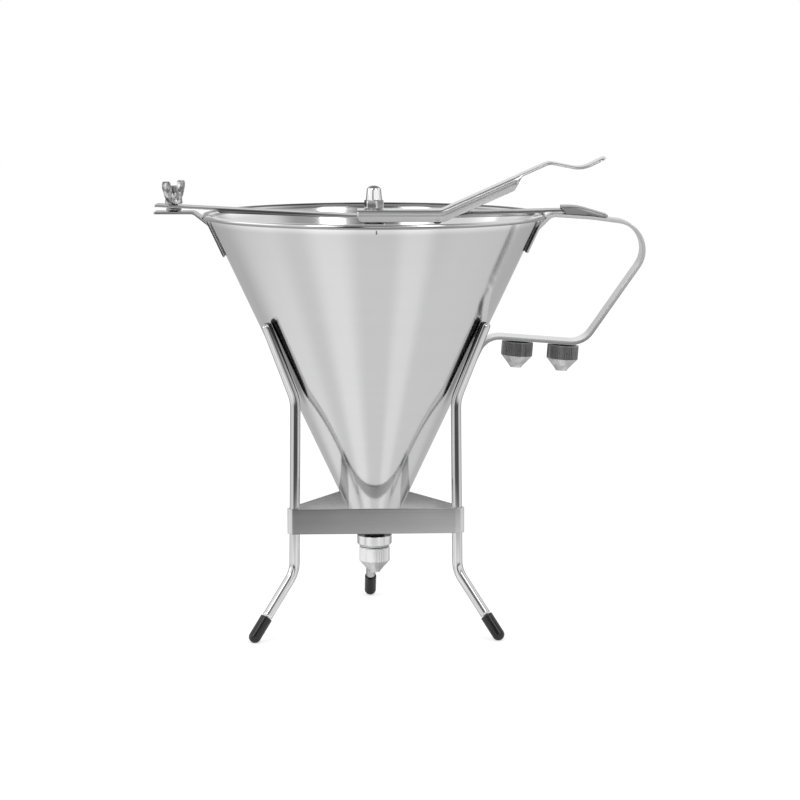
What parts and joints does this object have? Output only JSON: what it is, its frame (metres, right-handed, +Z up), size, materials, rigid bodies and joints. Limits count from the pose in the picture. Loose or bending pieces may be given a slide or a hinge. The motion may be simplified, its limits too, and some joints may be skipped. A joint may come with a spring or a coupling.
{
  "type": "dispensing funnel",
  "caption": "Steel cone funnel with a spring-closed lever valve, a loop handle that carries spare nozzles, and a wire stand with rubber feet.",
  "frame": {"origin": "on the surface that the stand rests on, under the middle of the object's box", "axes": "+Z up along the funnel's axis, +X from the clamp towards the handle, +Y towards the rear leg"},
  "size_m": [0.2854, 0.2, 0.2789],
  "materials": {
    "polished_steel": "polished",
    "bright_wire": "bright",
    "satin_steel": "satin",
    "spring_steel": "drawn",
    "cast_steel": "cast",
    "black_rubber": "smooth"
  },
  "bodies": {
    "stand": {"front_left_leg": "bright_wire", "front_right_leg": "bright_wire", "rear_leg": "bright_wire", "leg_band": "satin_steel", "front_left_foot": "black_rubber", "front_right_foot": "black_rubber", "rear_foot": "black_rubber"},
    "funnel": {"funnel_cone": "polished_steel", "outlet_spigot": "polished_steel", "outlet_seal": "black_rubber", "left_bracket": "satin_steel", "clamp_bolt": "satin_steel", "lock_nut": "satin_steel", "crossbar": "satin_steel", "pivot_pin": "satin_steel", "guide_bush": "satin_steel", "spring_washer": "satin_steel", "return_spring": "spring_steel", "handle_strip": "satin_steel", "crossbar_hood": "satin_steel", "nozzle_stud_inner": "satin_steel", "nozzle_stud_outer": "satin_steel"},
    "lever": {"lever": "satin_steel"},
    "rod": {"valve_rod": "polished_steel", "spring_collar": "satin_steel", "dome_nut": "polished_steel", "valve_plug": "black_rubber"},
    "wing_nut": {"wing_nut": "cast_steel"},
    "nozzle": {"dispensing_nozzle": "polished_steel"},
    "spare_inner": {"spare_nozzle_inner": "polished_steel"},
    "spare_outer": {"spare_nozzle_outer": "polished_steel"}
  },
  "joints": [
    {"name": "funnel_lift", "type": "slide", "parent": "stand", "child": "funnel", "axis": [0, 0, 1], "range_m": [0, 0.16]},
    {"name": "lever_press", "type": "hinge", "parent": "funnel", "child": "lever", "pos_m": [0.02169, 0, 0.24312], "axis": [0, 1, 0], "range_deg": [0, 14]},
    {"name": "rod_rise", "type": "slide", "parent": "funnel", "child": "rod", "axis": [0, 0, 1], "range_m": [0, 0.0108], "stiffness_N_per_m": 600, "springref_m": -0.015, "deforming": ["return_spring"]},
    {"name": "wing_nut_turn", "type": "hinge", "parent": "funnel", "child": "wing_nut", "pos_m": [-0.1319, 0, 0.25147], "axis": [0, 0, 1], "continuous": true},
    {"name": "nozzle_draw", "type": "slide", "parent": "funnel", "child": "nozzle", "axis": [0, 0, -1], "range_m": [0, 0.02]},
    {"name": "spare_inner_draw", "type": "slide", "parent": "funnel", "child": "spare_inner", "axis": [-0.0732, 0, -0.9973], "range_m": [0, 0.02]},
    {"name": "spare_outer_draw", "type": "slide", "parent": "funnel", "child": "spare_outer", "axis": [-0.0732, 0, -0.9973], "range_m": [0, 0.02]}
  ],
  "couplings": [
    {"joint": "rod_rise", "follows": "lever_press", "m_per_rad": 0.044}
  ]
}
